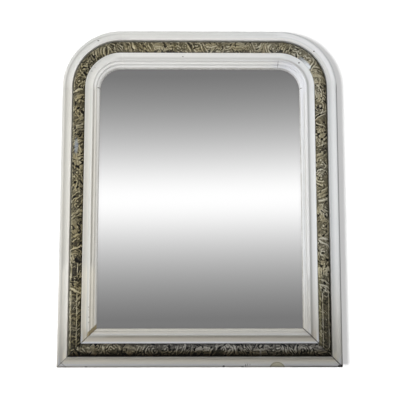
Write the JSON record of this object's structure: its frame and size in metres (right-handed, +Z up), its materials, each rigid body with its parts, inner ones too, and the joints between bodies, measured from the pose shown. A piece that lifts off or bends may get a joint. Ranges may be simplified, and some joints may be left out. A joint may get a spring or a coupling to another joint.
{
  "type": "framed wall mirror",
  "caption": "Wall mirror with rounded top corners: painted hollow mouldings either side of a relief ornament band, on a wooden carcass with a boarded back and swinging hanging rings.",
  "frame": {"origin": "middle of the back, on the centre back board's rear face, where the mirror lies against the wall", "axes": "+Z up, +X to the right seen from the front, -Y out of the front of the glass, +Y into the wall"},
  "size_m": [0.66, 0.054, 0.8],
  "materials": {
    "painted_wood": "off-white paint on gesso over wood, satin, chipped at the joints",
    "silvered_ornament": "moulded relief on wood, silvered, toned and darkened with age",
    "mirror_glass": "plain silvered sheet glass",
    "carcass_softwood": "bare planed softwood, aged",
    "peg_hardwood": "end-grain pegs, aged",
    "back_boards": "rough softwood boards, aged",
    "blackened_iron": "blackened iron with light rust"
  },
  "bodies": {
    "frame": {"outer_moulding_left": "painted_wood", "outer_moulding_right": "painted_wood", "outer_moulding_top": "painted_wood", "outer_moulding_bottom": "painted_wood", "outer_moulding_corner_left": "painted_wood", "outer_moulding_corner_right": "painted_wood", "ornament_band_left": "silvered_ornament", "ornament_band_right": "silvered_ornament", "ornament_band_top": "silvered_ornament", "ornament_band_bottom": "silvered_ornament", "ornament_band_corner_left": "silvered_ornament", "ornament_band_corner_right": "silvered_ornament", "inner_moulding_left": "painted_wood", "inner_moulding_right": "painted_wood", "inner_moulding_top": "painted_wood", "inner_moulding_bottom": "painted_wood", "inner_moulding_corner_left": "painted_wood", "inner_moulding_corner_right": "painted_wood", "carcass_stile_left": "carcass_softwood", "carcass_stile_right": "carcass_softwood", "carcass_rail_top": "carcass_softwood", "carcass_rail_bottom": "carcass_softwood", "glass_blocks": "carcass_softwood", "lap_pegs": "peg_hardwood", "mirror_glass": "mirror_glass", "back_board_left": "back_boards", "back_board_centre": "back_boards", "back_board_right": "back_boards", "back_board_nails": "blackened_iron", "hanger_plate_left": "blackened_iron", "hanger_plate_right": "blackened_iron", "hanger_screws": "blackened_iron"},
    "ring_left": {"hanger_ring_left": "blackened_iron"},
    "ring_right": {"hanger_ring_right": "blackened_iron"}
  },
  "joints": [
    {"name": "ring_left_swing", "type": "hinge", "parent": "frame", "child": "ring_left", "pos_m": [-0.304, -0.00445, 0.21], "axis": [1, 0, 0], "range_deg": [0, 180]},
    {"name": "ring_right_swing", "type": "hinge", "parent": "frame", "child": "ring_right", "pos_m": [0.304, -0.00445, 0.21], "axis": [1, 0, 0], "range_deg": [0, 180]}
  ]
}
